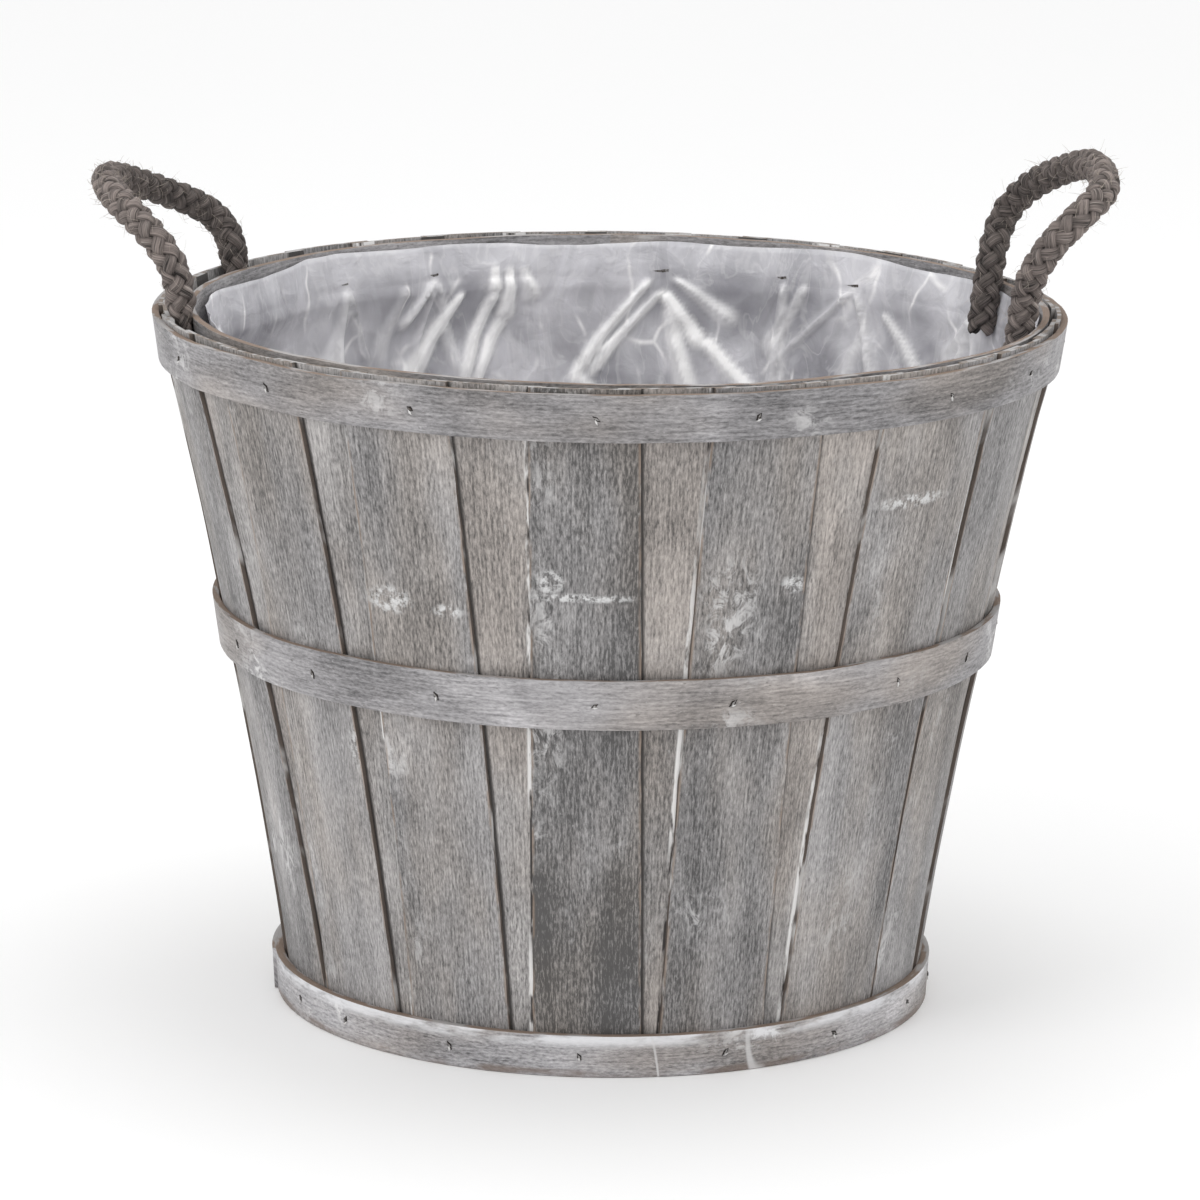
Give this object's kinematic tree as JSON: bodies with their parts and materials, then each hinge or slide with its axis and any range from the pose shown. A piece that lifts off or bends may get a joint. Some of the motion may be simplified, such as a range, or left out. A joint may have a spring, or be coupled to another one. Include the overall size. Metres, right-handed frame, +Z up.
{
  "type": "planter basket",
  "caption": "Round tapered basket of thin wooden staves held by wooden hoops, with a plastic liner inside and two swinging rope handles at the rim.",
  "frame": {"origin": "centre of the foot ring on the ground, on the basket's upright axis", "axes": "+Z up, -Y to the front, the rope handles at -X (left) and +X (right)"},
  "size_m": [0.3819, 0.3406, 0.3203],
  "materials": {
    "stave_wood": "thin whitewash over grey stain",
    "hoop_wood": "thin whitewash over grey stain",
    "base_wood": "bare",
    "rope": "braided plant fibre",
    "liner_film": "thin clear film",
    "staple_wire": "wire"
  },
  "bodies": {
    "basket": {"outer_stave_01": "stave_wood", "outer_stave_02": "stave_wood", "outer_stave_03": "stave_wood", "outer_stave_04": "stave_wood", "outer_stave_05": "stave_wood", "outer_stave_06": "stave_wood", "outer_stave_07": "stave_wood", "outer_stave_08": "stave_wood", "outer_stave_09": "stave_wood", "outer_stave_10": "stave_wood", "outer_stave_11": "stave_wood", "outer_stave_12": "stave_wood", "outer_stave_13": "stave_wood", "outer_stave_14": "stave_wood", "outer_stave_15": "stave_wood", "outer_stave_16": "stave_wood", "inner_stave_01": "stave_wood", "inner_stave_02": "stave_wood", "inner_stave_03": "stave_wood", "inner_stave_04": "stave_wood", "inner_stave_05": "stave_wood", "inner_stave_06": "stave_wood", "inner_stave_07": "stave_wood", "inner_stave_08": "stave_wood", "inner_stave_09": "stave_wood", "inner_stave_10": "stave_wood", "inner_stave_11": "stave_wood", "inner_stave_12": "stave_wood", "inner_stave_13": "stave_wood", "inner_stave_14": "stave_wood", "inner_stave_15": "stave_wood", "inner_stave_16": "stave_wood", "rim_outer_hoop": "hoop_wood", "middle_hoop": "hoop_wood", "foot_hoop": "hoop_wood", "rim_inner_hoop": "hoop_wood", "base_board": "base_wood", "rope_end_left_front": "rope", "rope_end_left_back": "rope", "rope_end_right_front": "rope", "rope_end_right_back": "rope", "plastic_liner": "liner_film", "rim_hoop_staples": "staple_wire", "middle_hoop_staples": "staple_wire", "foot_hoop_staples": "staple_wire", "liner_staples": "staple_wire"},
    "left_handle": {"rope_handle_left": "rope"},
    "right_handle": {"rope_handle_right": "rope"}
  },
  "joints": [
    {"name": "left_handle_swing", "type": "hinge", "parent": "basket", "child": "left_handle", "pos_m": [-0.1508, 0.01985, 0.2683], "axis": [-0.1298, -0.9915, 0], "range_deg": [-90, 55]},
    {"name": "right_handle_swing", "type": "hinge", "parent": "basket", "child": "right_handle", "pos_m": [0.14805, 0.01425, 0.2683], "axis": [-0.0982, 0.9952, 0], "range_deg": [-90, 55]}
  ]
}
